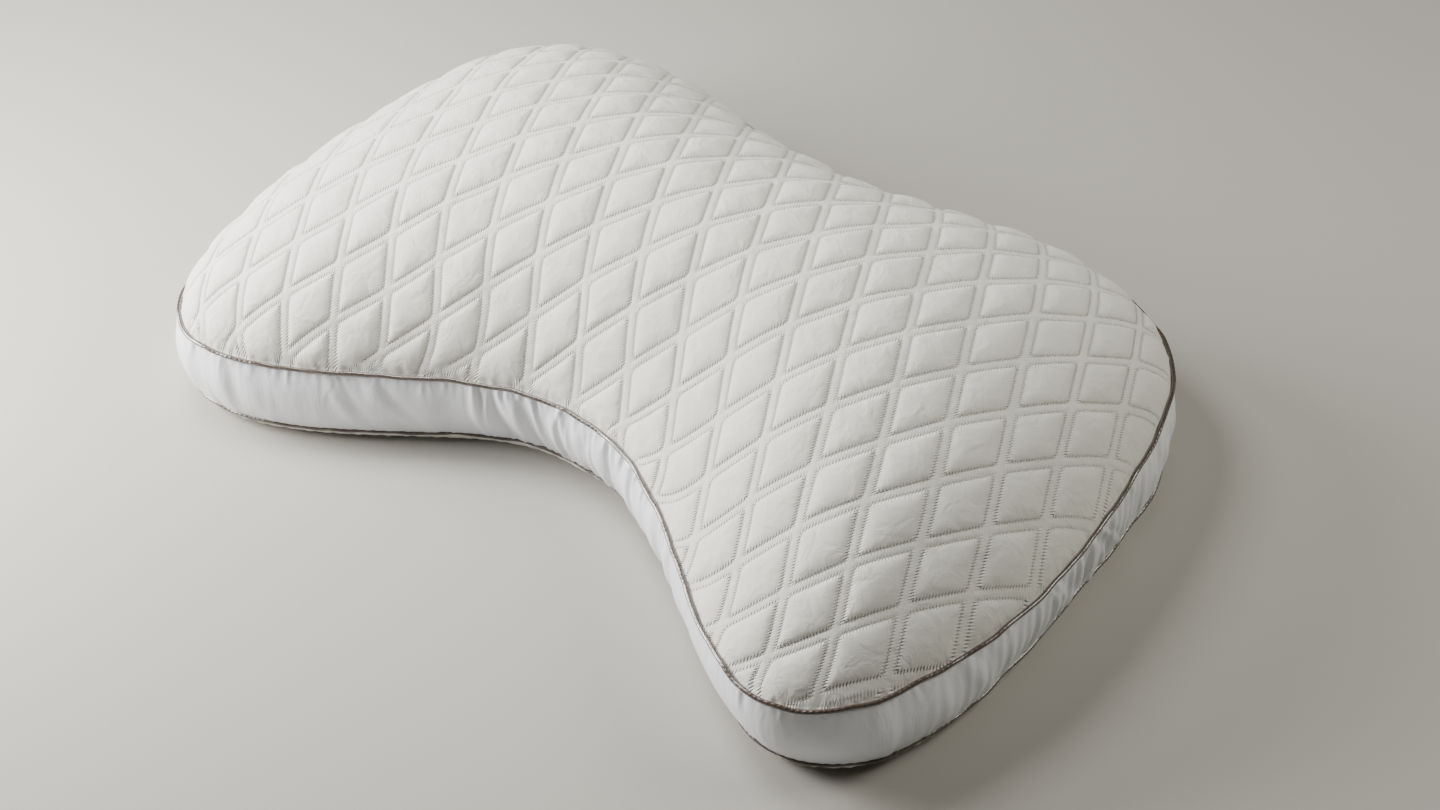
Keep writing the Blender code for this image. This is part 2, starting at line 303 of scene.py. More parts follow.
class Seam:
    """The top seam seen from above, as a closed curve."""

    def __init__(self):
        table = np.array(HALF_OUTLINE, dtype=float)
        mirrored = table[-2:0:-1]
        self.angles = np.radians(np.append(table[:, 0], 180.0 - mirrored[:, 0]))
        self.radii = np.append(table[:, 1], mirrored[:, 1])
        fine = np.linspace(-math.pi / 2, 1.5 * math.pi, OUTLINE_SAMPLES)
        plain = periodic_spline(self.angles, self.radii, 2.0 * math.pi, fine) * np.sin(fine)
        self.centre_y = -(plain.min() + plain.max()) / 2.0
        radius = self.radius(fine)
        curve = np.column_stack([radius * np.cos(fine), radius * np.sin(fine)])
        self.curve = curve + (0.0, self.centre_y)
        steps = np.hypot(*np.diff(self.curve, axis=0).T)
        self.along = np.append(0.0, np.cumsum(steps))
        self.length = self.along[-1]

    def radius(self, turn):
        whole = periodic_spline(self.angles, self.radii, 2.0 * math.pi, turn)
        return whole + ease(TOP_EASE, turn)

    def turn(self, points):
        """Direction of each point from the outline's own centre."""
        return np.arctan2(points[:, 1] - self.centre_y, points[:, 0])

    def points(self, count):
        """Even points from the recess, and their outward normals."""
        place = np.arange(count) / count * self.length
        points = np.column_stack([np.interp(place, self.along, self.curve[:, k]) for k in (0, 1)])
        tangent = np.roll(points, -1, axis=0) - np.roll(points, 1, axis=0)
        tangent /= np.hypot(*tangent.T)[:, None]
        return points, np.column_stack([tangent[:, 1], -tangent[:, 0]])

    def foot(self, points):
        """Offset of the bottom seam from the top seam, outwards."""
        return ease(BOTTOM_EASE, self.turn(points)) - BOTTOM_SEAM_INSET

    def near(self, points, direction, spread):
        """One at a direction in degrees, fading over a spread on both sides of it."""
        return np.exp(-((np.degrees(self.turn(points)) - direction) / spread) ** 2)

    def reach(self, points):
        """Share of the way from the outline's own centre to the seam."""
        y = points[:, 1] - self.centre_y
        return np.hypot(points[:, 0], y) / self.radius(self.turn(points))

    def pull(self, points):
        """Shift of the quilting where the seam takes up the cloth."""
        turn = self.turn(points)
        fade = np.exp((np.minimum(self.reach(points), 1.0) - 1.0) / PULL_REACH)
        inwards = ease(SEAM_PULL, turn) * fade
        sideways = ease(SEAM_PULL, turn, 2) * fade
        x = -inwards * np.cos(turn) - sideways * np.sin(turn)
        y = -inwards * np.sin(turn) + sideways * np.cos(turn)
        return np.column_stack([x, y])

    def released(self, points):
        """Where the points would lie without the seam's pull."""
        place = points.copy()
        for _ in range(PULL_ROUNDS):
            place = points - self.pull(place)
        return place


def seam_distance(points, loop):
    """Shortest distance from each point to a closed loop."""
    best = np.full(len(points), np.inf)
    for start, end in zip(loop, np.roll(loop, -1, axis=0)):
        edge = end - start
        share = np.clip(((points - start) @ edge) / (edge @ edge), 0.0, 1.0)
        best = np.minimum(best, np.hypot(*(points - start - share[:, None] * edge).T))
    return best


def mean_depth(points, loop):
    """Distance to the loop averaged over every direction: zero on it, smooth inside."""
    total = np.zeros(len(points))
    for start, end in zip(loop, np.roll(loop, -1, axis=0)):
        a = start - points
        b = end - points
        len_a = np.hypot(*a.T)
        len_b = np.hypot(*b.T)
        cross = a[:, 0] * b[:, 1] - a[:, 1] * b[:, 0]
        dot = (a * b).sum(axis=1)
        total += cross / (len_a * len_b + dot + 1e-12) * (1.0 / len_a + 1.0 / len_b)
    return 2.0 / total


def soften(table, width):
    """A grid smoothed both ways with a bell of the given width in steps."""
    reach = int(3 * width)
    bell = np.exp(-0.5 * (np.arange(-reach, reach + 1) / width) ** 2)
    bell /= bell.sum()
    for axis in (0, 1):
        padding = [(0, 0), (0, 0)]
        padding[axis] = (reach, reach)
        wide = np.pad(table, padding, mode="edge")
        table = np.apply_along_axis(np.convolve, axis, wide, bell, mode="valid")
    return table


class Crown:
    """The domed top without its quilting, and the flat cloth that covers it."""

    def __init__(self, seam):
        fine, outward = seam.points(LOOP_COLUMNS)
        self.loop = fine - outward * CROWN_INSET
        self.seam = seam
        loop = self.loop
        reach = np.abs(loop).max(axis=0) + MAP_STEP
        self.counts = np.ceil(reach / MAP_STEP).astype(int)
        xs = np.arange(-self.counts[0], self.counts[0] + 1) * MAP_STEP
        ys = np.arange(-self.counts[1], self.counts[1] + 1) * MAP_STEP
        grid_x, grid_y = np.meshgrid(xs, ys)
        self.deepest = 1.0
        grid = np.column_stack([grid_x.ravel(), grid_y.ravel()]) + 1e-6
        self.deepest = self.depth(grid).max()
        height = self.height(grid).reshape(grid_x.shape)
        self.slack_x = self.slack(height, 1)
        self.slack_y = self.slack(height, 0)

    def depth(self, points):
        depth = mean_depth(points, self.loop)
        return np.where(depth > 0.0, depth, 0.0) / self.deepest

    def height(self, points):
        """Rise of the crown, leaner towards the right lobe's front corner."""
        lean = CORNER_LEANNESS * self.seam.near(points, *LEAN_CORNER)
        return CROWN_HEIGHT * self.depth(points) ** (CROWN_FULLNESS + lean)

    def surface(self, points):
        """Places on the crown and its normals there."""
        height = self.height(points)
        slope_x = self.height(points + (SLOPE_STEP, 0.0)) - height
        slope_y = self.height(points + (0.0, SLOPE_STEP)) - height
        normal = np.column_stack([-slope_x, -slope_y, np.full(len(points), SLOPE_STEP)])
        normal /= np.linalg.norm(normal, axis=1)[:, None]
        return np.column_stack([points, TOP_SEAM_Z + height]), normal

    def slack(self, height, axis):
        """How much longer the cloth is than its plan, summed from the middle."""
        slope = np.gradient(height, MAP_STEP, axis=axis)
        slope = np.clip(slope, -STEEPEST_SLACK, STEEPEST_SLACK)
        extra = np.cumsum((np.sqrt(1.0 + slope ** 2) - 1.0) * MAP_STEP, axis=axis)
        middle = self.counts[1 - axis]
        extra = extra - np.take(extra, [middle], axis=axis)
        return soften(extra, SLACK_SOFTNESS / MAP_STEP) * SLACK_TAKEN[1 - axis]

    def read(self, table, points):
        """Bilinear value of a grid at each point."""
        place = points / MAP_STEP + self.counts
        place = np.clip(place, 0.0, 2.0 * self.counts - 1e-6)
        cell = place.astype(int)
        part = place - cell
        i, j = cell[:, 0], cell[:, 1]
        near = table[j, i] * (1 - part[:, 0]) + table[j, i + 1] * part[:, 0]
        far = table[j + 1, i] * (1 - part[:, 0]) + table[j + 1, i + 1] * part[:, 0]
        return near * (1 - part[:, 1]) + far * part[:, 1]

    def shift(self, plan):
        """How far the flat cloth lies beyond each place of the plan."""
        return np.column_stack([self.read(self.slack_x, plan), self.read(self.slack_y, plan)])

    def drape(self, flat):
        """Plan position of points given on the flat cloth."""
        plan = flat.copy()
        for _ in range(DRAPE_ROUNDS):
            plan = flat - self.shift(plan)
        return plan


def waver(cells):
    """Small unevenness of the sewn lines, in cells."""
    s, t = cells[:, 0], cells[:, 1]
    return LINE_WAVER * np.column_stack([
        np.sin(1.9 * t + 0.7 * s) + 0.5 * np.sin(4.3 * t + 1.0),
        np.sin(2.1 * s + 0.5 * t + 2.0) + 0.5 * np.sin(3.9 * s),
    ])


def cells_to_flat(cells):
    """Flat cloth position of quilting coordinates, one unit a diamond's side."""
    s, t = (cells + waver(cells)).T
    across = (s + t) * DIAMOND_HALF_X
    along = (s - t) * DIAMOND_HALF_Y + across * QUILT_SKEW
    x = across * math.cos(QUILT_TURN) - along * math.sin(QUILT_TURN) + QUILT_CENTRE[0]
    y = across * math.sin(QUILT_TURN) + along * math.cos(QUILT_TURN) + QUILT_CENTRE[1]
    return np.column_stack([x * (1.0 + QUILT_FAN * y), y])


def flat_to_cells(flat):
    """Quilting coordinates of places on the flat cloth."""
    y = flat[:, 1]
    x = flat[:, 0] / (1.0 + QUILT_FAN * y) - QUILT_CENTRE[0]
    y = y - QUILT_CENTRE[1]
    across = x * math.cos(QUILT_TURN) + y * math.sin(QUILT_TURN)
    along = y * math.cos(QUILT_TURN) - x * math.sin(QUILT_TURN) - across * QUILT_SKEW
    s = (across / DIAMOND_HALF_X + along / DIAMOND_HALF_Y) / 2.0
    t = (across / DIAMOND_HALF_X - along / DIAMOND_HALF_Y) / 2.0
    cells = np.column_stack([s, t])
    return cells - waver(cells - waver(cells))


def contour_distance(cells):
    """Distance inside the nearest diamond's sewn outline, negative in the channels."""
    distance = np.abs(cells - np.round(cells))
    inward = (distance - CHANNEL_HALF) * LINE_SPACING
    wide_corner = np.prod(np.sin(2.0 * math.pi * cells), axis=1)
    radius = CORNER_RADIUS + CORNER_CONTRAST * np.tanh(CORNER_SHARPNESS * wide_corner)
    close = np.clip(1.0 - np.abs(inward[:, 0] - inward[:, 1]) / radius, 0.0, None)
    return inward.min(axis=1) - close ** 2 * radius / 4.0


def quilt_relief(cells, depth_in, stretched):
    """Height of the quilted cloth over the crown: puffed diamonds, low channels."""
    contour = contour_distance(cells)
    inner = np.clip(contour, 0.0, None)
    deepest = (0.5 - CHANNEL_HALF) * LINE_SPACING
    edge = PAD_EDGE_HEIGHT * (1.0 - np.exp(-inner / PAD_EDGE_WIDTH))
    crown = PAD_CROWN_HEIGHT * np.sin(np.clip(inner / deepest, 0.0, 1.0) * math.pi / 2)
    step_s, step_t = PAD_VARIETY_STEPS
    number = np.floor(cells[:, 0]) * step_s + np.floor(cells[:, 1]) * step_t
    pad = (edge + crown) * (1.0 + PAD_VARIETY * np.sin(number))
    outer = np.clip(-contour / (CHANNEL_HALF * LINE_SPACING), 0.0, 1.0)
    channel = CHANNEL_HEIGHT * (1.0 - (1.0 - outer) ** 2)
    squeeze = np.clip(depth_in / SEAM_SQUEEZE, 0.0, 1.0)
    flattened = 1.0 - STRETCH_FLATTENING * stretched * np.exp(-(depth_in / STRETCH_REACH) ** 2)
    return (pad + channel) * squeeze * (2.0 - squeeze) * flattened


def soft_lumps(points):
    """Low unevenness of a filled cloth, a fraction of a millimetre."""
    x, y = points[:, 0], points[:, 1]
    lumps = np.sin(61.0 * x + 23.0 * y) * np.sin(47.0 * y - 19.0 * x + 1.3)
    lumps += 0.6 * np.sin(113.0 * x - 71.0 * y + 0.4) * np.sin(97.0 * y + 39.0 * x)
    return LUMP_HEIGHT * lumps


def uneven_wave(along, waves):
    """Sum of waves whose crests close up and spread out by turns."""
    return sum(
        share * np.sin(along * 2 * math.pi / pitch + sway * np.sin(along * turns))
        for share, pitch, sway, turns in waves
    )


def link_object(name, data):
    item = bpy.data.objects.new(name, data)
    bpy.context.scene.collection.objects.link(item)
    return item


def new_object(name, points, faces):
    """A smooth shaded mesh object from places and faces."""
    mesh = bpy.data.meshes.new(name)
    mesh.from_pydata([tuple(p) for p in points], [], faces)
    mesh.validate()
    mesh.shade_smooth()
    return link_object(name, mesh)


def write_uv(item, name, values):
    """A UV map from one pair for each vertex."""
    layer = item.data.uv_layers.new(name=name)
    loops = np.empty(len(item.data.loops), dtype=np.int32)
    item.data.loops.foreach_get("vertex_index", loops)
    layer.uv.foreach_set("vector", values[loops].astype(np.float32).ravel())


def ring_faces(first, second, count):
    """Quads between two rings of vertex numbers, the second above or inside the first."""
    i = np.arange(count)
    j = (i + 1) % count
    return np.column_stack([first + i, first + j, second + j, second + i]).tolist()


def lattice_samples():
    """Mesh lines in one direction, in cells: close together at the sewn lines."""
    half = np.array(HALF_CELL)
    cell = np.concatenate([[0.0], half, [0.5], 1.0 - half[::-1]])
    return (np.arange(-LATTICE_REACH, LATTICE_REACH)[:, None] + cell).ravel()


def cells_to_plan(seam, crown, cells):
    """Place on the plan of quilting coordinates, on the drawn-in cloth."""
    plan = crown.drape(cells_to_flat(cells))
    return plan + seam.pull(plan)


def rim_depth(seam, crown, plan):
    """Distance in from the cover's rim: exact where it is near, negative outside."""
    reach = seam.reach(plan)
    depth = np.where(reach < 1.0, WELL_INSIDE, -WELL_INSIDE)
    rim = (reach < 1.0) & (reach > RIM_REACH)
    depth[rim] = seam_distance(plan[rim], crown.loop)
    return depth


def quilt_lattice(seam, crown):
    """Fine mesh lines that follow the quilting: places, cells and quads."""
    samples = lattice_samples()
    s, t = np.meshgrid(samples, samples, indexing="ij")
    cells = np.column_stack([s.ravel(), t.ravel()])
    plan = cells_to_plan(seam, crown, cells)
    inside = rim_depth(seam, crown, plan) > LATTICE_MARGIN
    number = np.full(s.size, -1)
    grid = np.arange(s.size).reshape(s.shape)
    corners = (grid[:-1, :-1], grid[:-1, 1:], grid[1:, 1:], grid[1:, :-1])
    quads = np.stack(corners, axis=-1).reshape(-1, 4)
    quads = quads[inside[quads].all(axis=1)]
    used = np.unique(quads)
    number[used] = np.arange(len(used))
    return plan[used], cells[used], number[quads]


def open_edges(quads):
    """Edges that only one quad uses."""
    edges = np.concatenate([quads[:, [k, (k + 1) % 4]] for k in range(4)])
    sorted_edges = np.sort(edges, axis=1)
    _, index, uses = np.unique(sorted_edges, axis=0, return_index=True, return_counts=True)
    return edges[index[uses == 1]]


def rim_strip(points, rim, ring):
    """Triangles that join the stepped edge of the lattice to the smooth ring round it."""
    numbers = np.concatenate([np.unique(rim), ring])
    local = {int(n): k for k, n in enumerate(numbers)}
    edges = [(local[int(a)], local[int(b)]) for a, b in rim]
    edges += [(local[int(a)], local[int(b)]) for a, b in zip(ring, np.roll(ring, -1))]
    flat = [Vector(points[n]) for n in numbers]
    result = delaunay_2d_cdt(flat, edges, [], 1, 1e-9)
    source = [item[0] for item in result[3]]
    triangles = [tuple(source[v] for v in face) for face in result[2]]
    walls = {frozenset(edge) for edge in edges}
    beside = {}
    for number, face in enumerate(triangles):
        for k in range(3):
            side = frozenset((face[k], face[(k + 1) % 3]))
            beside.setdefault(side, []).append(number)
    first = local[int(ring[0])]
    second = local[int(ring[1])]
    waiting = list(beside[frozenset((first, second))])
    kept = set(waiting)
    while waiting:
        face = triangles[waiting.pop()]
        for k in range(3):
            side = frozenset((face[k], face[(k + 1) % 3]))
            if side in walls:
                continue
            for other in beside[side]:
                if other not in kept:
                    kept.add(other)
                    waiting.append(other)
    return [[int(numbers[v]) for v in triangles[k]] for k in sorted(kept)]


def seam_puckers(along, depth_in):
    """Small radial folds of the cover where it is sewn to the piping."""
    wave = uneven_wave(along, COVER_PUCKERS)
    fade = np.exp(-depth_in / PUCKER_REACH) * np.clip(depth_in / PUCKER_START, 0.0, 1.0)
    return PUCKER_HEIGHT * wave * fade


def build_cover(seam, crown):
    """Closed quilted cover: crown, the side under the band and the underside."""
    plan, cells, quads = quilt_lattice(seam, crown)
    fine, fine_normals = seam.points(SEAM_COLUMNS)
    count = SEAM_COLUMNS
    rings = [fine - fine_normals * (CROWN_INSET + inset) for inset in RIM_INSETS]
    flat = np.concatenate([plan] + rings)
    start = len(plan)
    free = seam.released(flat[start:])
    ring_cells = flat_to_cells(free + crown.shift(free))
    all_cells = np.concatenate([cells, ring_cells])
    depth_in = np.concatenate([
        seam_distance(plan, crown.loop),
        np.repeat(np.array(RIM_INSETS), count),
    ])
    place, normal = crown.surface(flat)
    place[start:start + count, 2] = TOP_SEAM_Z
    along = np.tile(np.arange(count) / count * seam.length, len(RIM_INSETS))
    relief = quilt_relief(all_cells, depth_in, seam.near(flat, *TIGHT_END))
    relief += soft_lumps(flat) * np.clip(depth_in / LUMP_FADE, 0.0, 1.0)
    relief[start:] += seam_puckers(along, depth_in[start:])
    place += normal * relief[:, None]

    faces = quads.tolist()
    inner = start + (len(RIM_INSETS) - 1) * count + np.arange(count)
    faces += rim_strip(flat, open_edges(quads), inner)
    for k in range(len(RIM_INSETS) - 1):
        faces += ring_faces(start + k * count, start + (k + 1) * count, count)

    tuck_places = []
    above = start
    for number, (offset, height) in enumerate(COVER_TUCKS):
        ring = fine + fine_normals * offset
        tuck_places.append(np.column_stack([ring, np.full(count, height)]))
        below = len(place) + number * count
        faces += ring_faces(below, above, count)
        above = below
    faces.append([above + k for k in range(count)][::-1])
    tuck_cells = np.tile(all_cells[start:start + count], (len(COVER_TUCKS), 1))
    item = new_object("quilted_cover", np.concatenate([place] + tuck_places), faces)
    write_uv(item, "quilt", np.concatenate([all_cells, tuck_cells]))
    return item


def side_offset(share, foot, bulge):
    """Offset of the band from the top seam; share is 0 at its foot and 1 at its top."""
    return foot * (1.0 - share) + bulge * np.sin(np.pi * share)


def side_height(share):
    return BOTTOM_SEAM_Z + (TOP_SEAM_Z - BOTTOM_SEAM_Z) * share


def bend_of_seam(points, span):
    """How far the seam bows inwards round each column: positive in the recess."""
    before = np.roll(points, span, axis=0)
    after = np.roll(points, -span, axis=0)
    chord = (before + after) / 2.0 - points
    tangent = np.roll(points, -1, axis=0) - np.roll(points, 1, axis=0)
    tangent /= np.hypot(*tangent.T)[:, None]
    return chord[:, 0] * tangent[:, 1] - chord[:, 1] * tangent[:, 0]


def fold_shape(offset, width):
    """Cross-section of one soft fold: a ridge with a hollow beside it."""
    ridge = np.exp(-(offset / width) ** 2)
    hollow = np.exp(-((offset - 1.6 * width) / (1.1 * width)) ** 2)
    return ridge - 0.6 * hollow


def wide_fold(rng, shares, crowd, loose):
    """Draws one wide fold: its slant, and its depth and width at each height."""
    narrow = 1.0 - 0.5 * crowd - 0.35 * loose
    width = rng.uniform(*FOLD_WIDTHS) * narrow
    depth = FOLD_DEPTH + CROWDED_DEPTH * crowd + LOOSE_FOLD_DEPTH * loose
    depth *= rng.uniform(*FOLD_DEPTH_SHARES)
    slant = rng.normal(*FOLD_SLANT) * (1.0 - 0.8 * crowd)
    middle = rng.uniform(*FOLD_MIDDLES)
    extent = rng.uniform(*FOLD_EXTENTS)
    fade = np.exp(-((shares - middle) / extent * 1.25) ** 2)
    return slant, depth * fade, width * (0.65 + 0.6 * np.sin(np.pi * shares))


def short_tuck(rng, shares, crowd):
    """Draws one tuck that runs in from a seam: slant, and depth and width at each height."""
    width = rng.uniform(*TUCK_WIDTHS)
    depth = rng.uniform(*TUCK_DEPTH_SHARES) * (TUCK_DEPTH + CROWDED_DEPTH * crowd)
    slant = rng.normal(0.0, TUCK_SLANT)
    from_top = rng.random() < TUCKS_FROM_TOP
    away = 1.0 - shares if from_top else shares
    fade = np.clip(1.0 - away / rng.uniform(*TUCK_LENGTHS), 0.0, 1.0)
    return slant, depth * fade, width * (0.75 + 1.6 * away)


def crowding(weights, tightness, looseness):
    everywhere, tight, loose = weights
    return everywhere + tight * tightness + loose * looseness


def band_folds(seam, columns, shares):
    """Outward relief of the satin band: wide slanting folds and short tucks."""
    rng = np.random.default_rng(FOLD_SEED)
    points, _ = seam.points(columns)
    bow = bend_of_seam(points, columns // 40)
    tightness = np.clip(bow / bow.max(), 0.0, 1.0)
    left = (np.abs(np.degrees(seam.turn(points))) - 180.0) / LOOSE_LEFT_SPREAD
    looseness = seam.near(points, *LOOSE_RIGHT_SIDE) + 0.8 * np.exp(-left ** 2)
    calm = 1.0 - 0.9 * seam.near(points, *CALM_CORNER)
    along = np.arange(columns) / columns * seam.length
    height = (shares - 0.5) * (TOP_SEAM_Z - BOTTOM_SEAM_Z)
    relief = np.zeros((len(shares), columns))
    kinds = (
        (WIDE_FOLDS, calm * crowding(FOLD_CROWDING, tightness, looseness)),
        (SHORT_TUCKS, crowding(TUCK_CROWDING, tightness, looseness)),
    )
    for number, weight in kinds:
        chance = np.cumsum(weight) / weight.sum()
        for _ in range(number):
            column = int(np.searchsorted(chance, rng.random()))
            if number == WIDE_FOLDS:
                fold = wide_fold(rng, shares, tightness[column], looseness[column])
            else:
                fold = short_tuck(rng, shares, tightness[column])
            slant, depth, width = fold
            centre = along[column] + slant * height
            offset = along[None, :] - centre[:, None]
            offset -= np.round(offset / seam.length) * seam.length
            relief += depth[:, None] * fold_shape(offset, width[:, None])
    arch = np.sin(np.pi * shares)[:, None]
    gather = uneven_wave(along, BAND_GATHERS)
    relief += GATHER_DEPTH * (looseness * gather)[None, :] * arch ** 0.7
    swell = np.sin(along * SWELL_TURNS[0]) * np.sin(along * SWELL_TURNS[1] + 1.0)
    relief += SWELL_DEPTH * swell[None, :] * arch
    near_top = np.exp(-(1.0 - shares) / SEWN_IN_REACH)[:, None]
    near_foot = np.exp(-shares / SEWN_IN_REACH)[:, None]
    pucker = uneven_wave(along, BAND_PUCKERS)
    relief += TOP_PUCKER_DEPTH * pucker[None, :] * near_top
    relief += FOOT_PUCKER_DEPTH * np.roll(pucker, FOOT_PUCKER_SHIFT)[None, :] * near_foot
    pinch = np.clip(np.minimum(shares, 1.0 - shares) / PINCH_REACH, 0.0, 1.0)
    relief *= (PINCHED_SHARE + (1.0 - PINCHED_SHARE) * pinch)[:, None]
    return DEEPEST_FOLD * np.tanh(relief / DEEPEST_FOLD)


def build_band(seam):
    """Gathered satin band between the two pipings, a thin closed ring."""
    points, normals = seam.points(BAND_COLUMNS)
    foot = seam.foot(points)
    taut = BAND_TAUTNESS * seam.near(points, *TIGHT_END)
    bulge = (SIDE_BULGE + BAND_PUFF) * (1.0 - taut)
    shares = np.linspace(*BAND_SPAN, BAND_ROWS)
    relief = band_folds(seam, BAND_COLUMNS, shares)
    rows = []
    for share, row in zip(shares, relief):
        offset = side_offset(share, foot, bulge) + row
        plan = points + normals * offset[:, None]
        rows.append(np.column_stack([plan, np.full(BAND_COLUMNS, side_height(share))]))
    for share in BAND_INNER_ROWS:
        plan = points + normals * (side_offset(share, foot, bulge) - BAND_THICKNESS)[:, None]
        rows.append(np.column_stack([plan, np.full(BAND_COLUMNS, side_height(share))]))
    faces = []
    for k in range(len(rows)):
        after = (k + 1) % len(rows)
        faces += ring_faces(k * BAND_COLUMNS, after * BAND_COLUMNS, BAND_COLUMNS)
    item = new_object("satin_band", np.concatenate(rows), faces)
    along = np.arange(BAND_COLUMNS) / BAND_COLUMNS
    uv = [np.column_stack([along, np.full(BAND_COLUMNS, r[0, 2])]) for r in rows]
    write_uv(item, "band", np.concatenate(uv))
    return item


def build_underside(seam):
    """Plain under panel: rolls in from the lower seam to its flat resting patch."""
    points, normals = seam.points(PANEL_COLUMNS)
    along = np.arange(PANEL_COLUMNS) / PANEL_COLUMNS * seam.length
    pucker = uneven_wave(along, PANEL_PUCKERS)
    rim = PANEL_RIM_INSET - seam.foot(points)
    puff = UNDER_PUFF * (1.0 - FLANK_TUCK * seam.near(points, *TUCKED_FLANK))

    def ring(turn, lift, outward):
        """One ring of the rolled rim, raised and drawn in by a lift."""
        inset = rim + lift + (REST_PATCH_INSET - rim) * (1.0 - math.sin(turn))
        height = PANEL_RIM_Z * (1.0 - math.cos(turn)) + lift
        plan = points + normals * (outward - inset)[:, None]
        return np.column_stack([plan, np.full(PANEL_COLUMNS, height)])

    rows = []
    for turn in PANEL_TURNS:
        steep = max(0.0, math.sin(turn) - PUFF_START) / PUFF_SPAN
        bulge = puff * math.sin(math.pi * min(1.0, steep)) ** 0.8
        fold = UNDER_FOLD * pucker * math.sin(turn) ** 3 * (turn < UNFOLDED_TURN)
        rows.append(ring(turn, 0.0, bulge + fold))
    rows += [ring(turn, PANEL_THICKNESS, 0.0) for turn in PANEL_TURNS[::-3]]
    faces = []
    last = len(PANEL_TURNS) - 1
    for k in range(len(rows)):
        if k == last:
            continue
        after = (k + 1) % len(rows)
        faces += ring_faces(after * PANEL_COLUMNS, k * PANEL_COLUMNS, PANEL_COLUMNS)
    flat_ring = last * PANEL_COLUMNS
    lifted_ring = (last + 1) * PANEL_COLUMNS
    faces.append([flat_ring + k for k in range(PANEL_COLUMNS)][::-1])
    faces.append([lifted_ring + k for k in range(PANEL_COLUMNS)])
    return new_object("under_panel", np.concatenate(rows), faces)


def add_node(tree, kind, values=(), **settings):
    """A new node with its settings, and a number or a link for each input."""
    node = tree.nodes.new(kind)
    for name, value in settings.items():
        setattr(node, name, value)
    for name, value in dict(values).items():
        if isinstance(value, bpy.types.NodeSocket):
            tree.links.new(value, node.inputs[name])
        else:
            node.inputs[name].default_value = value
    return node


def math_node(tree, operation, *terms):
    """Output of a Math node on numbers and sockets."""
    return add_node(tree, "ShaderNodeMath", enumerate(terms), operation=operation).outputs[0]


def geometry_tree(name, inputs):
    """An empty tree with named inputs: the tree, what comes in, and its sockets."""
    tree = bpy.data.node_groups.new(name, "GeometryNodeTree")
    face = tree.interface
    face.new_socket("Geometry", in_out="INPUT", socket_type="NodeSocketGeometry")
    face.new_socket("Geometry", in_out="OUTPUT", socket_type="NodeSocketGeometry")
    sockets = [
        face.new_socket(label, in_out="INPUT", socket_type="NodeSocket" + kind)
        for label, kind in inputs
    ]
    return tree, add_node(tree, "NodeGroupInput").outputs, sockets


def end_tree(tree, geometry, finish):
    """Ends a tree: smooth faces, real geometry and its finish."""
    smooth = add_node(tree, "GeometryNodeSetShadeSmooth", {"Geometry": geometry})
    real = add_node(tree, "GeometryNodeRealizeInstances", {"Geometry": smooth.outputs["Geometry"]})
    finished = add_node(
        tree,
        "GeometryNodeSetMaterial",
        {"Geometry": real.outputs["Geometry"], "Material": finish},
    )
    add_node(tree, "NodeGroupOutput", {"Geometry": finished.outputs["Geometry"]})


def piping_tree():
    """Sweeps a round cord along a closed path and numbers the way along and round it."""
    inputs = (("Radius", "Float"), ("Sides", "Int"), ("Finish", "Material"))
    tree, source, sockets = geometry_tree("piping_sweep", inputs)
    path = add_node(tree, "GeometryNodeMeshToCurve", {"Mesh": source["Geometry"]})
    profile = add_node(
        tree,
        "GeometryNodeCurvePrimitiveCircle",
        {"Resolution": source["Sides"], "Radius": source["Radius"]},
    )
    numbered = {}
    shares = (("cord_along", path, "Curve"), ("cord_round", profile, "Profile Curve"))
    for name, curve, target in shares:
        share = add_node(tree, "GeometryNodeSplineParameter")
        store = add_node(
            tree,
            "GeometryNodeStoreNamedAttribute",
            {"Geometry": curve.outputs["Curve"], "Name": name, "Value": share.outputs["Factor"]},
            data_type="FLOAT",
            domain="POINT",
        )
        numbered[target] = store.outputs["Geometry"]
    sweep = add_node(tree, "GeometryNodeCurveToMesh", numbered)
    end_tree(tree, sweep.outputs["Mesh"], source["Finish"])
    return tree, sockets


def stitch_tree():
    """Lays one short thread for each stitch along the sewn lines."""
    inputs = (("Pitch", "Float"), ("Length", "Float"), ("Radius", "Float"), ("Finish", "Material"))
    tree, source, sockets = geometry_tree("stitch_row", inputs)
    lines = add_node(tree, "GeometryNodeMeshToCurve", {"Mesh": source["Geometry"]})
    spaced = add_node(
        tree,
        "GeometryNodeResampleCurve",
        {"Curve": lines.outputs["Curve"], "Length": source["Pitch"]},
        mode="LENGTH",
    )
    spots = add_node(
        tree,
        "GeometryNodeCurveToPoints",
        {"Curve": spaced.outputs["Curve"]},
        mode="EVALUATED",
    )
    align = add_node(
        tree,
        "FunctionNodeAlignRotationToVector",
        {"Vector": spots.outputs["Tangent"]},
        axis="X",
    )
    thread = add_node(tree, "GeometryNodeMeshUVSphere", {"Segments": 4, "Rings": 2, "Radius": 1.0})
    radius = source["Radius"]
    half = math_node(tree, "MULTIPLY", source["Length"], 0.5)
    size = add_node(tree, "ShaderNodeCombineXYZ", {"X": half, "Y": radius, "Z": radius})
    row = add_node(
        tree,
        "GeometryNodeInstanceOnPoints",
        {
            "Points": spots.outputs["Points"],
            "Instance": thread.outputs["Mesh"],
            "Rotation": align.outputs["Rotation"],
            "Scale": size.outputs["Vector"],
        },
    )
    end_tree(tree, row.outputs["Instances"], source["Finish"])
    return tree, sockets


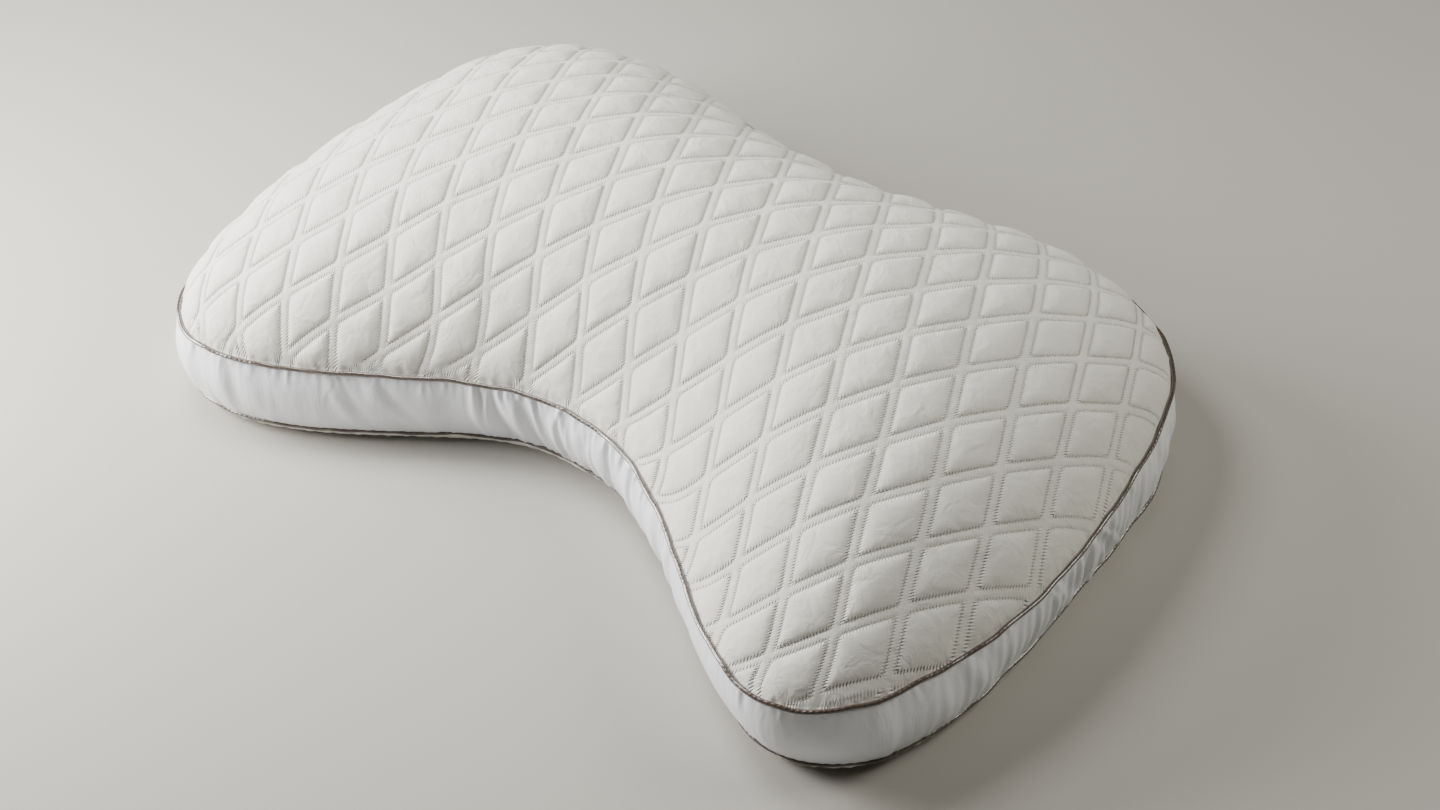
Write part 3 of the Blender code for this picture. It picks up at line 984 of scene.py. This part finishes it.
def grow(name, guide, tree, sockets, values):
    """Runs a tree on a guide mesh and keeps the result as a plain mesh."""
    modifier = guide.modifiers.new(name, "NODES")
    modifier.node_group = tree
    for socket, value in zip(sockets, values):
        modifier[socket.identifier] = value
    bpy.context.view_layer.update()
    graph = bpy.context.evaluated_depsgraph_get()
    mesh = bpy.data.meshes.new_from_object(guide.evaluated_get(graph))
    mesh.name = name
    item = link_object(name, mesh)
    bpy.data.objects.remove(guide, do_unlink=True)
    return item


def line_guide(name, runs):
    """A mesh of open or closed lines, one for each run of points."""
    points = []
    edges = []
    for run, closed in runs:
        start = len(points)
        points += [tuple(p) for p in run]
        edges += [(start + k, start + k + 1) for k in range(len(run) - 1)]
        if closed:
            edges.append((start + len(run) - 1, start))
    mesh = bpy.data.meshes.new(name)
    mesh.from_pydata(points, edges, [])
    return link_object(name, mesh)


def build_piping(name, seam, offset, height, finish, tree, sockets):
    """Satin covered cord round the pillow; offset is the share of the way to the foot."""
    points, normals = seam.points(PIPING_COLUMNS)
    along = np.arange(PIPING_COLUMNS) / PIPING_COLUMNS * 2 * math.pi
    sway = PIPING_SWAY * np.sin(43 * along + 2.0 * np.sin(5 * along))
    rise = PIPING_RISE * np.sin(37 * along + 1.0 + 1.6 * np.sin(7 * along))
    rise += PIPING_RIPPLE * np.sin(91 * along + 2.0)
    plan = points + normals * (offset * seam.foot(points) + sway)[:, None]
    path = np.column_stack([plan, height + rise])
    guide = line_guide(name + "_path", [(path, True)])
    return grow(name, guide, tree, sockets, (PIPING_RADIUS, PIPING_SIDES, finish))


def diamond_outlines():
    """Sewn outline of every diamond in quilting coordinates, a closed row each."""
    number = np.arange(-LATTICE_REACH, LATTICE_REACH) + 0.5
    centre_s, centre_t = np.meshgrid(number, number, indexing="ij")
    centres = np.column_stack([centre_s.ravel(), centre_t.ravel()])
    turns = np.arange(OUTLINE_POINTS) / OUTLINE_POINTS * 2.0 * math.pi
    ways = np.column_stack([np.cos(turns), np.sin(turns)])
    starts = np.repeat(centres, OUTLINE_POINTS, axis=0)
    ways = np.tile(ways, (len(centres), 1))
    near = np.zeros(len(starts))
    far = np.full(len(starts), OUTLINE_REACH)
    for _ in range(HALVINGS):
        middle = (near + far) / 2.0
        inside = contour_distance(starts + ways * middle[:, None]) > 0.0
        near = np.where(inside, middle, near)
        far = np.where(inside, far, middle)
    return starts + ways * near[:, None]


def stitch_runs(seam, crown):
    """Places of the sewn outlines on the cover, cut off where they meet the piping."""
    cells = diamond_outlines()
    plan = cells_to_plan(seam, crown, cells)
    depth_in = rim_depth(seam, crown, plan)
    inside = depth_in > STITCH_MARGIN
    place = np.zeros((len(plan), 3))
    surface, normal = crown.surface(plan[inside])
    tight = seam.near(plan[inside], *TIGHT_END)
    lift = quilt_relief(cells[inside], depth_in[inside], tight)
    lift += soft_lumps(plan[inside])
    place[inside] = surface + normal * (lift + STITCH_LIFT)[:, None]
    runs = []
    for start in range(0, len(plan), OUTLINE_POINTS):
        keep = inside[start:start + OUTLINE_POINTS]
        spots = place[start:start + OUTLINE_POINTS]
        if keep.all():
            runs.append((spots, True))
            continue
        if not keep.any():
            continue
        turn = int(np.argmin(keep))
        keep = np.roll(keep, -turn)
        spots = np.roll(spots, -turn, axis=0)
        cuts = np.flatnonzero(np.diff(np.concatenate([[0], keep.astype(int), [0]])))
        for first, last in zip(cuts[::2], cuts[1::2]):
            if last - first > SHORTEST_RUN:
                runs.append((spots[first:last], False))
    return runs


def shader_group(name, inputs, outputs):
    """An empty node group with named inputs and outputs, and what comes in."""
    group = bpy.data.node_groups.new(name, "ShaderNodeTree")
    for label, value in inputs.items():
        kind = "NodeSocketVector" if value is None else "NodeSocketFloat"
        socket = group.interface.new_socket(label, in_out="INPUT", socket_type=kind)
        if value is not None:
            socket.default_value = value
    for label in outputs:
        group.interface.new_socket(label, in_out="OUTPUT", socket_type="NodeSocketFloat")
    return group, add_node(group, "NodeGroupInput").outputs


def object_place(tree):
    return add_node(tree, "ShaderNodeTexCoord").outputs["Object"]


def noise(tree, place, scale, detail=2.0, roughness=0.5, distortion=0.0):
    """Value of a Noise texture at each place."""
    values = {
        "Vector": place,
        "Scale": scale,
        "Detail": detail,
        "Roughness": roughness,
        "Distortion": distortion,
    }
    return add_node(tree, "ShaderNodeTexNoise", values).outputs["Fac"]


def tone_factor(tree, value, change):
    """A factor that varies round one as the value does round a half."""
    centred = math_node(tree, "SUBTRACT", value, 0.5)
    return math_node(tree, "ADD", math_node(tree, "MULTIPLY", centred, change), 1.0)


def knit_group():
    """Fine knit grain and slow tone change of an off-white cloth."""
    inputs = {"Grain Scale": 1400.0, "Tone Change": 0.03}
    group, source = shader_group("knit_grain", inputs, ("Height", "Crumple", "Tone"))
    place = object_place(group)
    scale = source["Grain Scale"]
    loops = add_node(group, "ShaderNodeTexVoronoi", {"Vector": place, "Scale": scale})
    grain = noise(group, place, scale)
    results = {
        "Height": math_node(group, "MULTIPLY_ADD", loops.outputs["Distance"], -0.6, grain),
        "Crumple": noise(group, place, 75.0, detail=2.5, distortion=0.7),
        "Tone": tone_factor(group, noise(group, place, 26.0, detail=3.0), source["Tone Change"]),
    }
    add_node(group, "NodeGroupOutput", results)
    return group


def satin_group():
    """Long soft creases and fine warp threads of a satin, and a tone that is painted shade in the
    creases' hollows and painted light on their ridges.
    """
    inputs = {"Crease Scale": 60.0, "Tone Change": 0.03}
    group, source = shader_group("satin_drape", inputs, ("Height", "Tone"))
    stretch = add_node(
        group,
        "ShaderNodeMapping",
        {"Vector": object_place(group), "Scale": (1.0, 1.0, 0.22), "Rotation": (0.10, 0.06, 0.0)},
    )
    place = stretch.outputs["Vector"]
    crease = noise(group, place, source["Crease Scale"], detail=4.0, roughness=0.45, distortion=0.5)
    thread = math_node(group, "MULTIPLY", noise(group, place, 2600.0), 0.05)
    results = {
        "Height": math_node(group, "ADD", crease, thread),
        # Tone follows the creases: painted shade in their hollows, painted light on their ridges
        "Tone": tone_factor(group, crease, source["Tone Change"]),
    }
    add_node(group, "NodeGroupOutput", results)
    return group


def sewing_group():
    """Needle dimples and tiny folds along each diamond's sewn outline, and the mask where painted
    shade darkens the needle holes.
    """
    inputs = {"Cells": None, "Stitches": 24.0, "Line Width": 0.03, "Fold Reach": 0.036}
    group, source = shader_group("diamond_sewing", inputs, ("Dimples", "Folds", "Line"))
    split = add_node(group, "ShaderNodeSeparateXYZ", {"Vector": source["Cells"]}).outputs
    inward = []
    for axis in ("X", "Y"):
        share = math_node(group, "FRACT", math_node(group, "ADD", split[axis], 0.5))
        distance = math_node(group, "ABSOLUTE", math_node(group, "SUBTRACT", share, 0.5))
        inward.append(math_node(group, "SUBTRACT", distance, CHANNEL_HALF))
    contour = math_node(group, "SMOOTH_MIN", *inward, CONTOUR_SMOOTHING)
    first_nearer = math_node(group, "LESS_THAN", *inward)
    spread = math_node(group, "SUBTRACT", split["Y"], split["X"])
    chosen = math_node(group, "MULTIPLY", spread, first_nearer)
    along = math_node(group, "ADD", chosen, split["X"])
    turn = math_node(group, "MULTIPLY", along, source["Stitches"])
    wave = math_node(group, "COSINE", math_node(group, "MULTIPLY", turn, 2.0 * math.pi))

    def hill(width):
        """One at the outline, falling off smoothly on both sides of it."""
        ratio = math_node(group, "DIVIDE", contour, width)
        square = math_node(group, "MULTIPLY", ratio, ratio)
        return math_node(group, "EXPONENT", math_node(group, "MULTIPLY", square, -1.0))

    dots = math_node(group, "SUBTRACT", 0.5, math_node(group, "MULTIPLY", wave, 0.5))
    holes = math_node(group, "MULTIPLY", hill(source["Line Width"]), dots)
    results = {
        "Dimples": math_node(group, "MULTIPLY", holes, -1.0),
        "Folds": math_node(group, "MULTIPLY", hill(source["Fold Reach"]), wave),
        # Line marks the needle holes, where the cloth gets painted shade
        "Line": holes,
    }
    add_node(group, "NodeGroupOutput", results)
    return group


def place_group(tree, group, values):
    return add_node(tree, "ShaderNodeGroup", values, node_tree=group).outputs


def bump(tree, height, distance, strength=1.0, below=None):
    """Normal of a surface raised by a height, on top of an earlier normal."""
    values = {"Height": height, "Distance": distance, "Strength": strength}
    if below is not None:
        values["Normal"] = below
    return add_node(tree, "ShaderNodeBump", values).outputs["Normal"]


def cloth_material(name, rough, sheen, specular, sheen_rough=0.5, coat=0.0, coat_rough=0.03):
    """A material whose shader has the given gloss, and its node tree."""
    material = bpy.data.materials.new(name)
    material.use_nodes = True
    values = {
        "Roughness": rough,
        "Sheen Weight": sheen,
        "Sheen Roughness": sheen_rough,
        "Specular IOR Level": specular,
        "Coat Weight": coat,
        "Coat Roughness": coat_rough,
    }
    for label, value in values.items():
        material.node_tree.nodes["Principled BSDF"].inputs[label].default_value = value
    return material, material.node_tree


def dress(tree, colour, tone, normal=None):
    """Gives the shader its base colour times a tone, and its raised normal."""
    shader = tree.nodes["Principled BSDF"]
    scale = add_node(tree, "ShaderNodeVectorMath", {0: colour, "Scale": tone}, operation="SCALE")
    tree.links.new(scale.outputs["Vector"], shader.inputs["Base Color"])
    if normal is not None:
        tree.links.new(normal, shader.inputs["Normal"])


def knit_material(name, knit, sewing=None):
    """Off-white knit, with the sewing of the quilted cloth where it is given."""
    material, tree = cloth_material(name, rough=0.86, sheen=0.18, specular=0.25)
    grain = place_group(tree, knit, {"Grain Scale": 1500.0, "Tone Change": 0.09})
    normal = bump(tree, grain["Crumple"], distance=0.0015, strength=0.9)
    normal = bump(tree, grain["Height"], distance=0.00012, strength=0.8, below=normal)
    tone = grain["Tone"]
    if sewing:
        cells = add_node(tree, "ShaderNodeUVMap", uv_map="quilt").outputs["UV"]
        values = {"Cells": cells, "Stitches": 21.0, "Line Width": 0.02}
        sewn = place_group(tree, sewing, values)
        normal = bump(tree, sewn["Folds"], distance=0.00030, below=normal)
        normal = bump(tree, sewn["Dimples"], distance=0.00008, below=normal)
        # Painted shade: the cloth is darkened in the needle holes along the sewn lines
        shade = math_node(tree, "MULTIPLY_ADD", sewn["Line"], NEEDLE_HOLE_PAINTED_SHADE, 1.0)
        tone = math_node(tree, "MULTIPLY", tone, shade)
    dress(tree, OFF_WHITE, tone, normal)
    return material


def white_satin_material(satin):
    """Satin with long soft creases under a thin gloss, with painted shade in the creases' hollows and
    painted light on their ridges.
    """
    material, tree = cloth_material(
        "white_satin", 0.38, sheen=0.12, specular=0.5, sheen_rough=0.4, coat=0.28, coat_rough=0.32
    )
    drape = place_group(tree, satin, {"Crease Scale": 55.0, "Tone Change": 0.06})
    dress(tree, COOL_WHITE, drape["Tone"], bump(tree, drape["Height"], distance=0.0018))
    return material


def piping_material(satin):
    """Taupe satin pulled round the cord: slanting wrinkles that circle it, painted lighter on their
    crests and darker between them, with painted shade in the creases' hollows.
    """
    material, tree = cloth_material(
        "brown_satin", rough=0.24, sheen=0.0, specular=0.7, coat=1.0, coat_rough=0.12
    )
    parts = []
    for name, turns in (("cord_along", PIPING_WRINKLES), ("cord_round", 2.0)):
        share = add_node(tree, "ShaderNodeAttribute", attribute_name=name)
        parts.append(math_node(tree, "MULTIPLY", share.outputs["Fac"], turns))
    turn = math_node(tree, "ADD", *parts)
    shifted = math_node(tree, "ADD", turn, noise(tree, object_place(tree), 160.0))
    wave = math_node(tree, "SINE", math_node(tree, "MULTIPLY", shifted, 2.0 * math.pi))
    drape = place_group(tree, satin, {"Crease Scale": 420.0, "Tone Change": 0.12})
    normal = bump(tree, drape["Height"], distance=0.00018)
    normal = bump(tree, wave, distance=0.00006, below=normal)
    # Painted light on the wrinkles' crests and painted shade between them
    light = math_node(tree, "MULTIPLY_ADD", wave, WRINKLE_PAINTED_SHADE, 1.0)
    dress(tree, TAUPE, math_node(tree, "MULTIPLY", light, drape["Tone"]), normal)
    return material


def thread_material(knit):
    material, tree = cloth_material("thread_white", rough=0.6, sheen=0.1, specular=0.4)
    grain = place_group(tree, knit, {"Grain Scale": 5200.0, "Tone Change": 0.10})
    normal = bump(tree, grain["Height"], distance=0.00005, strength=0.6)
    dress(tree, THREAD_WHITE, grain["Tone"], normal)
    return material


def floor_material():
    material, tree = cloth_material("plain_floor", rough=0.9, sheen=0.0, specular=0.2)
    cloudy = noise(tree, object_place(tree), 3.0)
    dress(tree, FLOOR_COLOUR, tone_factor(tree, cloudy, 0.02))
    return material


def finish_piece(item, material, node):
    """Gives a piece its finish and its body, and hides the solid that it stands for."""
    item.data.materials.clear()
    item.data.materials.append(material)
    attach(item, "root")
    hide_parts(node)


def view_frame():
    """Camera directions: right, up and forward, with the fitted roll."""
    turn, lift = CAMERA_AZIMUTH, CAMERA_ELEVATION
    right = Vector((math.cos(turn), math.sin(turn), 0.0))
    level = Vector((-math.sin(turn), math.cos(turn), 0.0))
    forward = level * math.cos(lift) - Vector((0, 0, 1)) * math.sin(lift)
    up = level * math.sin(lift) + Vector((0, 0, 1)) * math.cos(lift)
    roll = CAMERA_ROLL
    rolled = right * math.cos(roll) - up * math.sin(roll)
    return rolled, right * math.sin(roll) + up * math.cos(roll), forward, level


def add_camera():
    right, up, forward, _ = view_frame()
    data = bpy.data.cameras.new("camera")
    data.lens = CAMERA_FOCAL
    data.sensor_width = SENSOR_WIDTH
    item = link_object("camera", data)
    place = Vector(CAMERA_AIM) - forward * CAMERA_DISTANCE
    columns = Matrix((right, up, -forward)).transposed().to_4x4()
    item.matrix_world = Matrix.Translation(place) @ columns
    bpy.context.scene.camera = item


def add_light(name, turn, lift, distance, power, colour):
    """A round soft light, placed by its turn from the camera's left and its lift."""
    right, _, _, level = view_frame()
    side = Vector((right.x, right.y, 0.0)).normalized()
    turn, lift = math.radians(turn), math.radians(lift)
    way = (level * math.sin(turn) - side * math.cos(turn)) * math.cos(lift)
    way += Vector((0.0, 0.0, math.sin(lift)))
    data = bpy.data.lights.new(name, "AREA")
    data.shape = "DISK"
    data.size = LIGHT_SIZE * distance
    data.energy = power
    data.color = colour
    item = link_object(name, data)
    item.location = way * distance + LIGHT_AIM
    item.rotation_euler = way.to_track_quat("Z", "Y").to_euler()


def add_room():
    """Weak light from all round."""
    world = bpy.data.worlds.new("soft_room")
    bpy.context.scene.world = world
    world.use_nodes = True
    sky = world.node_tree.nodes["Background"]
    sky.inputs["Color"].default_value = ROOM_COLOUR
    sky.inputs["Strength"].default_value = ROOM_STRENGTH


def add_floor():
    corners = [(x * FLOOR_HALF, y * FLOOR_HALF, 0.0) for x, y in ((-1, -1), (1, -1), (1, 1), (-1, 1))]
    item = new_object("floor", corners, [(0, 1, 2, 3)])
    item.data.materials.append(floor_material())


def build_scene():
    seam = Seam()
    crown = Crown(seam)
    knit = knit_group()
    satin = satin_group()
    quilted = knit_material("quilted_knit", knit, sewing_group())
    plain = knit_material("plain_knit", knit)
    white_satin = white_satin_material(satin)
    brown_satin = piping_material(satin)

    cover = build_cover(seam, crown)
    finish_piece(cover, quilted, "quilted_top")

    band = build_band(seam)
    finish_piece(band, white_satin, "side_band")

    under = build_underside(seam)
    finish_piece(under, plain, "bottom_panel")

    tree, sockets = piping_tree()
    seams = (
        ("top_cord", 0.0, TOP_SEAM_Z, "top_piping"),
        ("bottom_cord", 1.0, BOTTOM_SEAM_Z, "bottom_piping"),
    )
    for name, offset, height, node in seams:
        cord = build_piping(name, seam, offset, height, brown_satin, tree, sockets)
        finish_piece(cord, brown_satin, node)

    thread = thread_material(knit)
    tree, sockets = stitch_tree()
    guide = line_guide("sewn_lines", stitch_runs(seam, crown))
    values = (STITCH_PITCH, STITCH_LENGTH, STITCH_RADIUS, thread)
    stitches = grow("quilting_stitches", guide, tree, sockets, values)
    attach(stitches, "root")


add_camera()
for light in LIGHTS:
    add_light(*light)
add_room()
add_floor()
build_scene()
